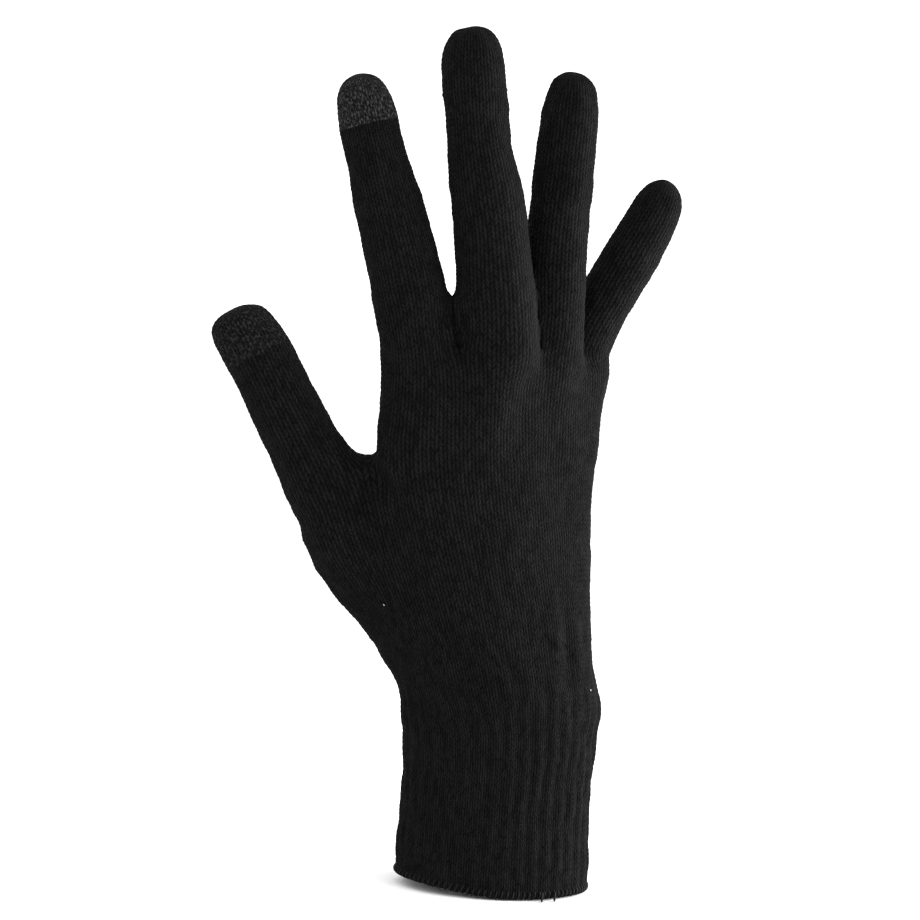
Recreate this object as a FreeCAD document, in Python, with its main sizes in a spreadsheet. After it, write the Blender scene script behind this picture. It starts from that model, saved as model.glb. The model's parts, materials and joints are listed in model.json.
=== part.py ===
import FreeCAD, Part
import math
import os

import Sketcher
from FreeCAD import Rotation, Vector

# A knitted touchscreen glove for the right hand, in millimetres.
#
# The glove stands on the mouth of its cuff, with the fingers up (+Z), the thumb towards -X and the
# back of the hand towards -Y. The origin is the centre of the cuff's mouth. The real glove is one
# tube of knitting; here it is cut at the folds that the wrist and the digits bend at, so that each
# stretch between two folds is a shell of its own and each fold is a soft band between two shells.

FINGERS = ["index", "middle", "ring", "little"]
DIGITS = FINGERS + ["thumb"]
CAPPED = ["index", "thumb"]

# Driving dimensions that belong to the whole glove.
SIZES = {
    "knit_wall": 1.6,
    "hem_wall": 2.4,
    "cuff_half_width": 27.3,
    "cuff_half_depth": 20.3,
    "wrist_half_width": 26.6,
    "wrist_half_depth": 19.6,
    "cuff_turn": 16,
    "overlock_height": 2.4,
    "overlock_proud": 0.4,
    "hem_top": 8,
    "rib_top": 34,
    "wrist_band_bottom": 44,
    "wrist_band_top": 46,
    "palm_bottom": 66,
    "thumb_level": 118,
    "crotch_level": 149,
    "web_wall": 2,
    "elastic_height": 0.8,
    "elastic_wall": 0.5,
    "elastic_gap": 0.15,
    "elastic_pitch": 5,
    "elastic_count": 5,
    "tack_radius": 0.7,
    "tack_length": 7,
    "tail_loop_radius": 1.1,
    "tail_loop_clear": 1.5,
    "tail_loop_foot": 0.35,
    "tail_radius": 0.25,
    "knot_radius": 1.1,
    "knot_gap": 0.11,
}

# Driving dimensions of each digit. Stations are distances along the digit's axis from its root, lean
# is its angle from +Z towards +X, and a fold reaches its half length to both sides of its pivot.
DIGIT_COLUMNS = [
    "root_x", "root_y", "root_z", "lean", "root_radius", "tip_radius", "length",
    "root_fold", "knuckle", "knuckle_half", "middle_joint", "middle_half", "tip_joint", "tip_half", "cap",
]
DIGIT_ROWS = {
    "index": [-31.6, 1, 149, -18, 9.9, 8.0, 73.8, 5.5, 12.5, 6, 31, 7, 52.5, 4.5, 13.7],
    "middle": [-9.5, 0, 149, -9.5, 9.8, 8.6, 87.3, 6, 13, 6, 38, 7.2, 63, 4.7, 0],
    "ring": [4.9, 12, 149, 0.5, 8.4, 7.9, 77.2, 5.5, 12.5, 6, 32, 6.7, 54.5, 4.5, 0],
    "little": [13.4, 26, 149, 24, 7.4, 6.7, 55, 4.8, 9.8, 4, 21, 4.8, 37.5, 3.6, 0],
    "thumb": [-56, 4, 109.5, -32, 10.2, 8.9, 51, 5.2, 10.7, 4.5, 28, 6.5, 0, 0, 14],
}

# The palm is a skin round four metacarpal rays: the middle of the hand's thickness under each finger,
# as (x, y, half thickness), at the wrist, at the thumb's crotch and at the fingers' crotches.
RAY_COLUMNS = ["x", "y", "half"]
RAY_LEVELS = ["palm_bottom", "thumb_level", "crotch_level"]
RAYS = {
    "index": [(-14, -4, 16.5), (-28.0, -1, 13.4), (-31.6, 1, 10.9)],
    "middle": [(-6.5, -2.5, 17), (-15.0, 0, 14), (-9.5, 0, 11)],
    "ring": [(0.5, 0.5, 17), (-3.0, 6.5, 13.4), (4.9, 12, 9.8)],
    "little": [(7, 4.5, 16), (8.0, 15, 11.8), (13.4, 26, 8.8)],
}

# The swelling of the thumb's root, and the web that joins it to the side of the palm, as rings of
# (x, y, z, radius).
RING_COLUMNS = ["x", "y", "z", "radius"]
MOUNDS = {
    "thenar": [(-29, -1, 69, 10), (-44, 2, 90, 12.2), (-56, 4, 109.5, 10.2)],
    "thumb_web": [(-36, 1, 92, 11), (-43.5, 1.5, 114, 4.4)],
}

# How far round the hem from the middle of its back the two thread tails stand.
TAIL_LOOPS = [8, 12]

doc = FreeCAD.newDocument("touchscreen_glove")
sheet = doc.addObject("Spreadsheet::Sheet", "sizes")
exported = []


def fill_sheet():
    """Writes every driving dimension to the sheet as a plain number with an alias."""
    rows = dict(SIZES)
    for digit, numbers in DIGIT_ROWS.items():
        for column, number in zip(DIGIT_COLUMNS, numbers):
            rows[digit + "_" + column] = number
    for digit, sections in RAYS.items():
        for level, numbers in zip(RAY_LEVELS, sections):
            for column, number in zip(RAY_COLUMNS, numbers):
                rows["%s_ray_%s_%s" % (digit, level, column)] = number
    for mound, rings in MOUNDS.items():
        for place, numbers in enumerate(rings, start=1):
            for column, number in zip(RING_COLUMNS, numbers):
                rows["%s_%d_%s" % (mound, place, column)] = number
    for line, (name, number) in enumerate(rows.items(), start=1):
        sheet.set("A%d" % line, name)
        sheet.set("B%d" % line, str(number))
        sheet.setAlias("B%d" % line, name)
    doc.recompute()


def size(name):
    """A driving dimension's value."""
    return float(sheet.get(name))


def keep(feature):
    """Marks a finished sub-part for export under its Label."""
    exported.append(feature)
    return feature


def digit_axis(digit):
    """The unit vector from a digit's root to its tip."""
    lean = math.radians(size(digit + "_lean"))
    return Vector(math.sin(lean), 0, math.cos(lean))


def digit_placement(digit):
    """Puts a piece made along +Z on a digit's axis, with its foot at the digit's root."""
    root = Vector(size(digit + "_root_x"), size(digit + "_root_y"), size(digit + "_root_z"))
    return FreeCAD.Placement(root, Rotation(Vector(0, 0, 1), digit_axis(digit)))


def taper(digit):
    """The fall of a digit's outer radius per millimetre of its length, as an expression."""
    return "(sizes.{0}_root_radius - sizes.{0}_tip_radius) / sizes.{0}_length".format(digit)


def radius_at(digit, station, inside=False):
    """The expression for a digit's outer or inner radius at a station."""
    outer = "sizes.%s_root_radius - %s * (%s)" % (digit, taper(digit), station)
    return outer + " - sizes.knit_wall" if inside else outer


# ---------------------------------------------------------------- digits


def cone(name, placement, low, high, foot, top):
    """A Part::Cone from one station to another; foot and top are the expressions of its radii."""
    solid = doc.addObject("Part::Cone", name)
    solid.setExpression("Radius1", foot)
    solid.setExpression("Radius2", top)
    solid.setExpression("Height", "(%s) - (%s)" % (high, low))
    solid.Placement = placement
    return solid


def tube(label, digit, low, high):
    """A hollow stretch of a digit between two stations, given as expressions."""
    axis = digit_axis(digit)
    start = evaluate(low)
    placement = digit_placement(digit)
    placement.Base = placement.Base + axis * start
    outer = cone(label + "_outer", placement, low, high, radius_at(digit, low), radius_at(digit, high))
    inner = cone(label + "_inner", placement, low, high,
                 radius_at(digit, low, True), radius_at(digit, high, True))
    shell = doc.addObject("Part::Cut", label)
    shell.Base = outer
    shell.Tool = inner
    return shell


def evaluate(expression):
    """The number that an expression over the sheet stands for."""
    return float(sheet.evalExpression(expression.replace("sizes.", "")))


def station(digit, name, sign=0):
    """The expression for a digit's station, or for one end of the fold round it."""
    place = "sizes.%s_%s" % (digit, name)
    if sign == 0:
        return place
    half = "sizes.%s_%s_half" % (digit, name.replace("_joint", ""))
    return "%s %s %s" % (place, "+" if sign > 0 else "-", half)


def add_bound(sketch, name, constraint, expression):
    """Adds a named constraint whose value the sheet drives."""
    number = sketch.addConstraint(constraint)
    sketch.renameConstraint(number, name)
    sketch.setExpression("Constraints." + name, expression)


def tip_shell(label, digit, low):
    """The closed end of a digit from a station on: a revolved shell with a round nose."""
    body = doc.addObject("PartDesign::Body", label)
    sketch = body.newObject("Sketcher::SketchObject", label + "_profile")
    plane = [item for item in body.Origin.OriginFeatures if item.Role == "XZ_Plane"][0]
    sketch.AttachmentSupport = [(plane, "")]
    sketch.MapMode = "FlatFace"
    nose = "sizes.%s_tip_radius" % digit
    shoulder = "sizes.%s_length - %s" % (digit, nose)
    wall = size("knit_wall")
    z_low, z_nose, r_nose = evaluate(low), evaluate(shoulder), evaluate(nose)
    r_low = evaluate(radius_at(digit, low))
    inner_low, outer_low = Vector(r_low - wall, z_low, 0), Vector(r_low, z_low, 0)
    outer_high, inner_high = Vector(r_nose, z_nose, 0), Vector(r_nose - wall, z_nose, 0)
    centre, upright = Vector(0, z_nose, 0), Vector(0, 0, 1)
    crown, ceiling = Vector(0, z_nose + r_nose, 0), Vector(0, z_nose + r_nose - wall, 0)
    sketch.addGeometry([
        Part.LineSegment(inner_low, outer_low),
        Part.LineSegment(outer_low, outer_high),
        Part.ArcOfCircle(Part.Circle(centre, upright, r_nose), 0, math.pi / 2),
        Part.LineSegment(crown, ceiling),
        Part.ArcOfCircle(Part.Circle(centre, upright, r_nose - wall), 0, math.pi / 2),
        Part.LineSegment(inner_high, inner_low),
    ])
    foot, side, crown_arc, post, roof_arc, inside = range(6)
    joins = [(foot, 2, side, 1), (side, 2, crown_arc, 1), (crown_arc, 2, post, 1),
             (post, 2, roof_arc, 2), (roof_arc, 1, inside, 1), (inside, 2, foot, 1)]
    for join in joins:
        sketch.addConstraint(Sketcher.Constraint("Coincident", *join))
    sketch.addConstraint(Sketcher.Constraint("Coincident", crown_arc, 3, roof_arc, 3))
    sketch.addConstraint(Sketcher.Constraint("PointOnObject", crown_arc, 3, -2))
    sketch.addConstraint(Sketcher.Constraint("PointOnObject", crown_arc, 2, -2))
    sketch.addConstraint(Sketcher.Constraint("PointOnObject", roof_arc, 2, -2))
    sketch.addConstraint(Sketcher.Constraint("Horizontal", foot))
    distance = Sketcher.Constraint
    add_bound(sketch, "foot_height", distance("DistanceY", -1, 1, foot, 1, z_low), low)
    add_bound(sketch, "foot_inner", distance("DistanceX", -1, 1, foot, 1, r_low - wall),
              radius_at(digit, low, True))
    add_bound(sketch, "foot_outer", distance("DistanceX", -1, 1, foot, 2, r_low), radius_at(digit, low))
    add_bound(sketch, "shoulder_height", distance("DistanceY", -1, 1, side, 2, z_nose), shoulder)
    add_bound(sketch, "shoulder_outer", distance("DistanceX", -1, 1, side, 2, r_nose), nose)
    add_bound(sketch, "inner_shoulder_height", distance("DistanceY", -1, 1, inside, 1, z_nose), shoulder)
    add_bound(sketch, "inner_shoulder", distance("DistanceX", -1, 1, inside, 1, r_nose - wall),
              nose + " - sizes.knit_wall")
    add_bound(sketch, "nose_height", distance("DistanceY", -1, 1, crown_arc, 3, z_nose), shoulder)
    turned = body.newObject("PartDesign::Revolution", label + "_turned")
    turned.Profile = sketch
    turned.ReferenceAxis = (sketch, ["V_Axis"])
    turned.Angle = 360
    body.Tip = turned
    body.Placement = digit_placement(digit)
    return body


def root_fold(digit):
    """The soft band at a digit's root; a finger's is cut level with the crotches."""
    label = digit + "_root_fold"
    top = station(digit, "root_fold")
    if digit == "thumb":
        return keep(tube(label, digit, "0 * " + top, top))
    band = tube(label + "_whole", digit, "0 - " + top, top)
    block = doc.addObject("Part::Box", label + "_above")
    for side in ("Length", "Width", "Height"):
        block.setExpression(side, "sizes.%s_root_radius * 6" % digit)
    half = 3 * size(digit + "_root_radius")
    corner = Vector(size(digit + "_root_x") - half, size(digit + "_root_y") - half, size("crotch_level"))
    block.Placement = FreeCAD.Placement(corner, Rotation())
    fold = doc.addObject("Part::Common", label)
    fold.Base = band
    fold.Tool = block
    return keep(fold)


def digit_pieces(digit):
    """Every shell and fold of one digit, from its root to its tip; the thumb has no tip joint."""
    root_fold(digit)
    keep(tube(digit + "_root_band", digit, station(digit, "root_fold"), station(digit, "knuckle", -1)))
    keep(tube(digit + "_knuckle_fold", digit, station(digit, "knuckle", -1), station(digit, "knuckle", 1)))
    keep(tube(digit + "_proximal", digit, station(digit, "knuckle", 1), station(digit, "middle_joint", -1)))
    keep(tube(digit + "_middle_fold", digit,
              station(digit, "middle_joint", -1), station(digit, "middle_joint", 1)))
    last = "middle_joint"
    if digit in FINGERS:
        keep(tube(digit + "_middle", digit,
                  station(digit, "middle_joint", 1), station(digit, "tip_joint", -1)))
        keep(tube(digit + "_tip_fold", digit,
                  station(digit, "tip_joint", -1), station(digit, "tip_joint", 1)))
        last = "tip_joint"
    if digit in CAPPED:
        cap_foot = "sizes.{0}_length - sizes.{0}_cap".format(digit)
        keep(tube(digit + "_distal", digit, station(digit, last, 1), cap_foot))
        keep(tip_shell(digit + "_conductive_cap", digit, cap_foot))
    else:
        keep(tip_shell(digit + "_distal", digit, station(digit, last, 1)))


def tip_knots():
    """The knots that close the knitting, one inside the end of each digit."""
    for digit in DIGITS:
        knot = doc.addObject("Part::Sphere", digit + "_tip_knot")
        knot.setExpression("Radius", "sizes.knot_radius")
        depth = size("knit_wall") + size("knot_radius") + size("knot_gap")
        knot.Placement = digit_placement(digit)
        knot.Placement.Base = knot.Placement.Base + digit_axis(digit) * (size(digit + "_length") - depth)
        keep(knot)


# ---------------------------------------------------------------- cuff


def ring_section(level, half_width, half_depth, spread):
    """An ellipse round the forearm at a level, grown by an expression in both directions."""
    ellipse = doc.addObject("Part::Ellipse", "cuff_section")
    ellipse.setExpression("MajorRadius", "%s + %s" % (half_width, spread))
    ellipse.setExpression("MinorRadius", "%s + %s" % (half_depth, spread))
    turn = Rotation(Vector(0, 0, 1), size("cuff_turn"))
    ellipse.Placement = FreeCAD.Placement(Vector(0, 0, evaluate(level)), turn)
    return ellipse


def ring(label, low, high, outward, inward):
    """A band of the cuff between two levels, from inward to outward of the cuff's outer face."""
    walls = []
    for spread in (outward, inward):
        sections = []
        for level in (low, high):
            part_way = "(%s) / sizes.rib_top" % level if evaluate(level) < size("rib_top") else "1"
            width = "sizes.cuff_half_width + (sizes.wrist_half_width - sizes.cuff_half_width) * " + part_way
            depth = "sizes.cuff_half_depth + (sizes.wrist_half_depth - sizes.cuff_half_depth) * " + part_way
            sections.append(ring_section(level, width, depth, spread))
        loft = doc.addObject("Part::Loft", label + "_wall")
        loft.Sections = sections
        loft.Solid = True
        loft.Ruled = True
        walls.append(loft)
    band = doc.addObject("Part::Cut", label)
    band.Base = walls[0]
    band.Tool = walls[1]
    return band


def cuff_pieces():
    """The cuff from its mouth up to the bend of the wrist."""
    wall = "0 - sizes.knit_wall"
    keep(ring("hem_overlock", "0 * sizes.hem_top", "sizes.overlock_height",
              "sizes.overlock_proud", "0 - sizes.hem_wall"))
    keep(ring("cuff_hem", "sizes.overlock_height", "sizes.hem_top", "0 * sizes.hem_wall",
              "0 - sizes.hem_wall"))
    keep(ring("cuff_rib", "sizes.hem_top", "sizes.rib_top", "0 * sizes.hem_wall", wall))
    keep(ring("wrist_side_fold", "sizes.rib_top", "sizes.wrist_band_bottom", "0 * sizes.hem_wall", wall))
    keep(ring("wrist_band", "sizes.wrist_band_bottom", "sizes.wrist_band_top", "0 * sizes.hem_wall", wall))


def elastic_yarns():
    """Flat elastic yarns laid into the rib's inner face, one above the other."""
    loops = []
    face = "0 - sizes.knit_wall - sizes.elastic_gap"
    for number in range(int(size("elastic_count"))):
        low = "sizes.hem_top + sizes.elastic_pitch * %s" % (number + 0.5)
        loops.append(ring("elastic_yarn", low, low + " + sizes.elastic_height",
                          face, face + " - sizes.elastic_wall"))
    group = doc.addObject("Part::Compound", "cuff_elastic_yarns")
    group.Links = loops
    return keep(group)


def tail_loops():
    """Two little loops where the overlocking's thread tails are tucked back, low on the hem."""
    loops = []
    reach = size("cuff_half_depth") + size("overlock_proud")
    for across in TAIL_LOOPS:
        loop = doc.addObject("Part::Torus", "tail_loop")
        loop.setExpression("Radius1", "sizes.tail_loop_radius")
        loop.setExpression("Radius2", "sizes.tail_radius")
        turn = math.radians(size("cuff_turn"))
        out = math.sqrt(1 - (across / size("cuff_half_width")) ** 2) * reach
        out += size("tail_loop_clear")
        place = Vector(across * math.cos(turn) + out * math.sin(turn),
                       across * math.sin(turn) - out * math.cos(turn),
                       size("tail_loop_radius") + size("tail_loop_foot"))
        loop.Placement = FreeCAD.Placement(place, Rotation(Vector(0, 1, 0), 90))
        loops.append(loop)
    group = doc.addObject("Part::Compound", "hem_thread_loops")
    group.Links = loops
    return keep(group)


# ---------------------------------------------------------------- palm


def between(pattern, level):
    """A quadratic through the three numbers the sheet gives for the three ray levels."""
    levels = [size(name) for name in RAY_LEVELS]
    total = 0
    for i, value in enumerate([size(pattern % name) for name in RAY_LEVELS]):
        weight = 1
        for j, other in enumerate(levels):
            if j != i:
                weight *= (level - other) / (levels[i] - other)
        total += weight * value
    return total


def palm_section(level, inset):
    """A closed smooth curve round the four rays at a level, inset from the palm's outer face."""
    centres, halves = [], []
    for digit in FINGERS:
        across, depth, half = [between(digit + "_ray_%s_" + column, level) for column in RAY_COLUMNS]
        centres.append(Vector(across, depth, level))
        halves.append(half - inset)
    back, front, ends = [], [], []
    for i, (centre, half) in enumerate(zip(centres, halves)):
        along = centres[min(i + 1, 3)] - centres[max(i - 1, 0)]
        along.normalize()
        across = Vector(along.y, -along.x, 0)
        back.append(centre + across * half)
        front.append(centre - across * half)
        if i in (0, 3):
            outwards = along * (-1 if i == 0 else 1)
            corner = half * math.sqrt(0.5)
            ends.append([centre + (outwards + across) * corner, centre + outwards * half,
                         centre + (outwards - across) * corner])
    points = back + ends[1] + front[::-1] + ends[0][::-1]
    curve = Part.BSplineCurve()
    curve.interpolate(points, PeriodicFlag=True)
    return Part.Wire([curve.toShape()])


def palm_loft(low, high, inset, count=4):
    """The solid inside the palm's face, or inside its inner face, between two levels."""
    step = (high - low) / (count - 1)
    return Part.makeLoft([palm_section(low + step * i, inset) for i in range(count)], True)


def ring_loft(rings, axis):
    """A solid through round sections given as (x, y, z, radius), all square to one axis."""
    circles = [Part.Circle(Vector(x, y, z), axis, radius) for x, y, z, radius in rings]
    return Part.makeLoft([Part.Wire([circle.toShape()]) for circle in circles], True)


def mound_rings(mound):
    """The rings of a mound, as (x, y, z, radius), from the sheet."""
    places = range(1, len(MOUNDS[mound]) + 1)
    return [[size("%s_%d_%s" % (mound, place, column)) for column in RING_COLUMNS] for place in places]


def thumb_root(inset):
    """The thenar mound and the thumb's web, or the hollow inside them when inset is the wall."""
    axis = digit_axis("thumb")
    thenar, web = mound_rings("thenar"), mound_rings("thumb_web")
    for ring_row in thenar + web:
        ring_row[3] -= inset
    web[-1][2] -= inset
    solid = ring_loft(thenar, axis).fuse(ring_loft(web, Vector(0, 0, 1)))
    if inset > 0:
        x, y, z, radius = thenar[-1]
        solid = solid.fuse(Part.makeCylinder(radius, inset, Vector(x, y, z), axis))
    return solid


def solid_feature(label, shape):
    """A Part::Feature that holds a shape made with Part's own functions."""
    feature = doc.addObject("Part::Feature", label)
    feature.Shape = shape
    return keep(feature)


def slab(low, high):
    """A block that covers the whole glove between two levels."""
    return Part.makeBox(300, 300, high - low, Vector(-150, -150, low))


def palm_pieces():
    """The palm below and above the thumb's crotch, and the webs between the fingers."""
    wall, web = size("knit_wall"), size("web_wall")
    bottom, thumb, top = size("palm_bottom"), size("thumb_level"), size("crotch_level")
    spare = 1
    outer = palm_loft(bottom, thumb, 0).fuse(thumb_root(0).common(slab(bottom, thumb)))
    inner = palm_loft(bottom - spare, thumb + spare, wall).fuse(
        thumb_root(wall).common(slab(bottom - spare, thumb + spare)))
    solid_feature("palm_lower", outer.cut(inner).removeSplitter())
    upper = palm_loft(thumb, top, 0).cut(palm_loft(thumb - spare, top - web, wall))
    for digit in FINGERS:
        axis = digit_axis(digit)
        root = Vector(size(digit + "_root_x"), size(digit + "_root_y"), size(digit + "_root_z"))
        radius = size(digit + "_root_radius") - wall
        upper = upper.cut(Part.makeCylinder(radius, 20, root - axis * 10, axis))
    solid_feature("palm_upper", upper)


def wrist_oval(points, level, inset):
    """The wrist's oval at a level, as a closed curve with one point abreast of each given point."""
    turn = math.radians(size("cuff_turn"))
    half_width, half_depth = size("wrist_half_width") - inset, size("wrist_half_depth") - inset
    centre = sum(points, Vector()) / len(points)
    places = []
    for point in points:
        angle = math.atan2(point.y - centre.y, point.x - centre.x)
        reach = half_width * half_depth / math.hypot(half_depth * math.cos(angle - turn),
                                                     half_width * math.sin(angle - turn))
        places.append(Vector(reach * math.cos(angle), reach * math.sin(angle), level))
    curve = Part.BSplineCurve()
    curve.interpolate(places, PeriodicFlag=True)
    return Part.Wire([curve.toShape()])


def wrist_bend_fold():
    """The soft band that the palm bends on, from the oval wrist band to the palm's first section."""
    shells = []
    for inset in (0, size("knit_wall")):
        section = palm_section(size("palm_bottom"), inset)
        oval = wrist_oval(section.discretize(25)[:-1], size("wrist_band_top"), inset)
        shells.append(Part.makeLoft([oval, section], True))
    solid_feature("wrist_bend_fold", shells[0].cut(shells[1]))


def crotch_tacks():
    """The thread tacks that strengthen the webs between the fingers, inside the glove."""
    tacks = []
    for first, second in zip(FINGERS, FINGERS[1:]):
        roots = [Vector(size(d + "_root_x"), size(d + "_root_y"), 0) for d in (first, second)]
        along = roots[1] - roots[0]
        inner = [size(d + "_root_radius") - size("knit_wall") for d in (first, second)]
        gap = along.Length - inner[0] - inner[1]
        along.normalize()
        middle = roots[0] + along * (inner[0] + gap / 2)
        across = Vector(along.y, -along.x, 0)
        below = size("crotch_level") - size("web_wall") - size("tack_radius") - 0.1
        foot = middle - across * (size("tack_length") / 2) + Vector(0, 0, below)
        tack = doc.addObject("Part::Cylinder", "crotch_tack")
        tack.setExpression("Radius", "sizes.tack_radius")
        tack.setExpression("Height", "sizes.tack_length")
        tack.Placement = FreeCAD.Placement(foot, Rotation(Vector(0, 0, 1), across))
        tacks.append(tack)
    group = doc.addObject("Part::Compound", "crotch_tacks")
    group.Links = tacks
    return keep(group)


# ---------------------------------------------------------------- whole glove


def write_parts():
    """Checks every object and writes each sub-part to its own file."""
    doc.recompute()
    for item in doc.Objects:
        if "Invalid" in item.State or "Error" in item.State:
            raise RuntimeError("%s did not recompute: %s" % (item.Label, item.State))
    os.makedirs("parts", exist_ok=True)
    for feature in exported:
        if feature.Shape.isNull() or not feature.Shape.isValid():
            raise RuntimeError("%s has no valid shape" % feature.Label)
        feature.Shape.exportStep(os.path.join("parts", feature.Label + ".step"))
        print("%-24s %9.1f mm3, %d solids" % (feature.Label, feature.Shape.Volume, len(feature.Shape.Solids)))
    print(len(exported), "nodes")


fill_sheet()
cuff_pieces()
elastic_yarns()
tail_loops()
wrist_bend_fold()
palm_pieces()
crotch_tacks()
for name in DIGITS:
    digit_pieces(name)
tip_knots()
write_parts()
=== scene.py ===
import json
import math

import bpy
import numpy as np
from mathutils import Matrix, Vector


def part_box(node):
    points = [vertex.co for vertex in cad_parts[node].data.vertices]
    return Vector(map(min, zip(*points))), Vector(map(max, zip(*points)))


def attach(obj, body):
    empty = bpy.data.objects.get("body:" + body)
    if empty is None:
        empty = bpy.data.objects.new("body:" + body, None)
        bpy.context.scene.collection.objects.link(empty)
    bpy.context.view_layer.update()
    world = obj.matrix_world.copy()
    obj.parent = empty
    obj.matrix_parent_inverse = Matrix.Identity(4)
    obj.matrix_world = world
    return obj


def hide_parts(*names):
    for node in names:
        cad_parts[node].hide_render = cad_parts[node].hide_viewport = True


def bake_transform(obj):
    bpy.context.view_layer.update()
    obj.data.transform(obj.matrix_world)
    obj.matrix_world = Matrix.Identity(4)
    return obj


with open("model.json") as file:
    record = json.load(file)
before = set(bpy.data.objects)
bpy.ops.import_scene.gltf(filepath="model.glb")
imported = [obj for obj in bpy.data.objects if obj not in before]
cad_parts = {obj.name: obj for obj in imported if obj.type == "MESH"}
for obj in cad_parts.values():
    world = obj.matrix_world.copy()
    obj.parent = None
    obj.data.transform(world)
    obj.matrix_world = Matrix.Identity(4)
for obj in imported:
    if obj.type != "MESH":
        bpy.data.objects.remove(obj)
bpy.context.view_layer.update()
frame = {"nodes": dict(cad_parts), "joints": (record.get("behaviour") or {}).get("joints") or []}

# A knitted touchscreen glove for the right hand. The shape is worked out in millimetres as one
# knitted tube: 108 wales round the cuff, which split at the crotch of the thumb and again at the
# crotches of the fingers. It is then cut along its courses into pieces that follow the CAD bodies.
# Levels are heights above the cuff's mouth; a station is a distance along a digit from its root.

MM = 0.001
UP, DEPTH, FRONT = np.array([0, 0, 1.0]), np.array([0, 1.0, 0]), np.array([0, -1.0, 0])

COURSE = 1.4  # height of one course of knitting
WALES = 108  # wales round the cuff
WEB_WALES = 3  # wales picked up in the web between two digits
TURNED_ROW = 32  # last course of the cuff: the wrist's side bend is below it
BEND_ROW = 48  # last course of the wrist's bend
THUMB_ROW = 83  # course of the thumb's crotch
CROTCH_ROW = 105  # course of the fingers' crotches
CROTCH_DROP = 2  # how far the webs sag below the level where the finger shells start

# The hem's inner half, from the edge up: (distance in from the outer face, rise above the edge).
HEM_TURN = [(1.0, -0.15), (2.1, 0.75), (2.3, 2.2), (2.2, 3.7), (2.1, 5.2), (2.0, 6.7), (1.7, 8.2)]
HEM_EDGE = 0.55  # level of the first course, where the edge starts to turn
HEM_ROWS = 6  # courses of the cuff that have the turned hem behind them
HEM_LIFT = 2.2  # how far the hem's edge is raised at the thumb's side
HEM_LIFT_SIDE = (6, -27)  # from where to where along X the lift grows to its full height
HEM_LIFT_TOP = 14  # level where the lift has faded out
HEM_WAVE = 0.12  # half height of the three waves round the hem's edge

# The cuff's outline as (level, half width, half depth, shift of its centre along X).
CUFF = [(0, 27.3, 20.3, 0), (24, 26.6, 19.6, -0.6), (36, 26.9, 19.6, -0.6), (48, 27.9, 19.8, -1.2)]
CUFF_TURN = math.radians(16)

FINGERS = ["index", "middle", "ring", "little"]
DIGITS = ["thumb"] + FINGERS

CAPPED = ("thumb", "index")  # the digits with a conductive cap

# For each digit: its front wales, the length of its root fold and half the lengths of its other
# folds, the courses that lie square to its axis as (course from the crotch, station), and its
# outline as (station, radius).
KNIT = {
    "thumb": {
        "wales": 12, "root_fold": 5.2, "halves": (4.5, 6.5),
        "square": [(4, 5.7), (13, 18.4), (26, 37.0)],
        "outline": [(0, 9.9), (12, 9.7), (19, 9.7), (27, 9.6), (37, 9.5), (43, 9.2), (46.7, 8.7),
                    (49.4, 7.4), (51.1, 4.7), (51.8, 0)],
    },
    "index": {
        "wales": 12, "root_fold": 5.5, "halves": (6, 7, 4.5),
        "square": [(4, 6.0), (15, 21.2), (31, 43.0), (43, 60.1)],
        "outline": [(0, 9.9), (13, 10.4), (20, 10.0), (26, 9.8), (33, 9.6), (39, 9.35), (45, 8.9),
                    (51, 8.6), (58, 8.4), (64, 7.8), (70, 6.2), (73.1, 3.8), (74.3, 0)],
    },
    "middle": {
        "wales": 11, "root_fold": 6, "halves": (6, 7.2, 4.7),
        "square": [(4, 6.5), (17, 24.0), (37, 52.0)],
        "outline": [(0, 10.8), (13, 11.0), (19, 10.7), (25, 10.3), (31, 9.9), (43.6, 9.65),
                    (50, 9.35), (56, 9.15), (62, 8.75), (68, 8.7), (75, 8.75), (80.5, 8.2),
                    (84.5, 6.5), (86.7, 3.9), (87.3, 0)],
    },
    "ring": {
        "wales": 10, "root_fold": 5.5, "halves": (6, 6.7, 4.5),
        "square": [(4, 6.0), (15, 21.5), (31, 44.0)],
        "outline": [(0, 9.0), (20, 8.8), (40, 8.6), (50, 8.3), (62, 8.05), (68.5, 7.5), (73.8, 5.9),
                    (76.4, 3.4), (77.2, 0)],
    },
    "little": {
        "wales": 9, "root_fold": 4.8, "halves": (4, 4.8, 3.6),
        "square": [(4, 5.3), (11, 15.0), (22, 30.0)],
        "outline": [(0, 7.9), (13, 7.9), (22, 7.9), (30, 7.8), (36, 7.5), (43, 7.0), (48.5, 6.4),
                    (52.3, 4.9), (54.4, 2.6), (55, 0)],
    },
}

# The palm as a skin round one ray under each finger: (x, y, half thickness) at three levels.
RAY_LEVELS = (66, 118, 149)
RAYS = {
    "index": [(-14, -4, 16.5), (-27.2, -1, 13.2), (-30.1, 1, 9.8)],
    "middle": [(-6.5, -2.5, 17), (-15.0, 0, 14), (-9.5, 0, 11)],
    "ring": [(0.5, 0.5, 17), (-3.0, 6.5, 13.4), (4.9, 12, 9.6)],
    "little": [(7, 4.5, 16), (8.0, 15, 12.5), (13.4, 26, 10.2)],
}
PALM_START = 50  # level below which the rays don't change
# Balls that the mound below the thumb and the thumb's web run through: (x, y, level, radius).
THENAR = [(-17, -2, 50, 9), (-28.3, -1, 69.5, 9.9), (-44, 2, 90, 12.6), (-56, 4, 109.5, 9.6)]
THUMB_WEB = [(-36, 1, 92, 10.5), (-43.7, 1.5, 110.3, 4.2)]
THUMB_CROTCH = (-44.8, 2, 114.5)

# How softly the parts of the hand run into one another.
RAY_REACH, ROOF_REACH, THENAR_REACH, THUMB_WEB_REACH = 8, 6, 10, 6
FINGER_REACH, THUMB_REACH, THUMB_ROOT_REACH = 4, 6, 5
CUFF_TO_PALM = (43, 62)  # levels between which the cuff's oval turns into the palm

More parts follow.
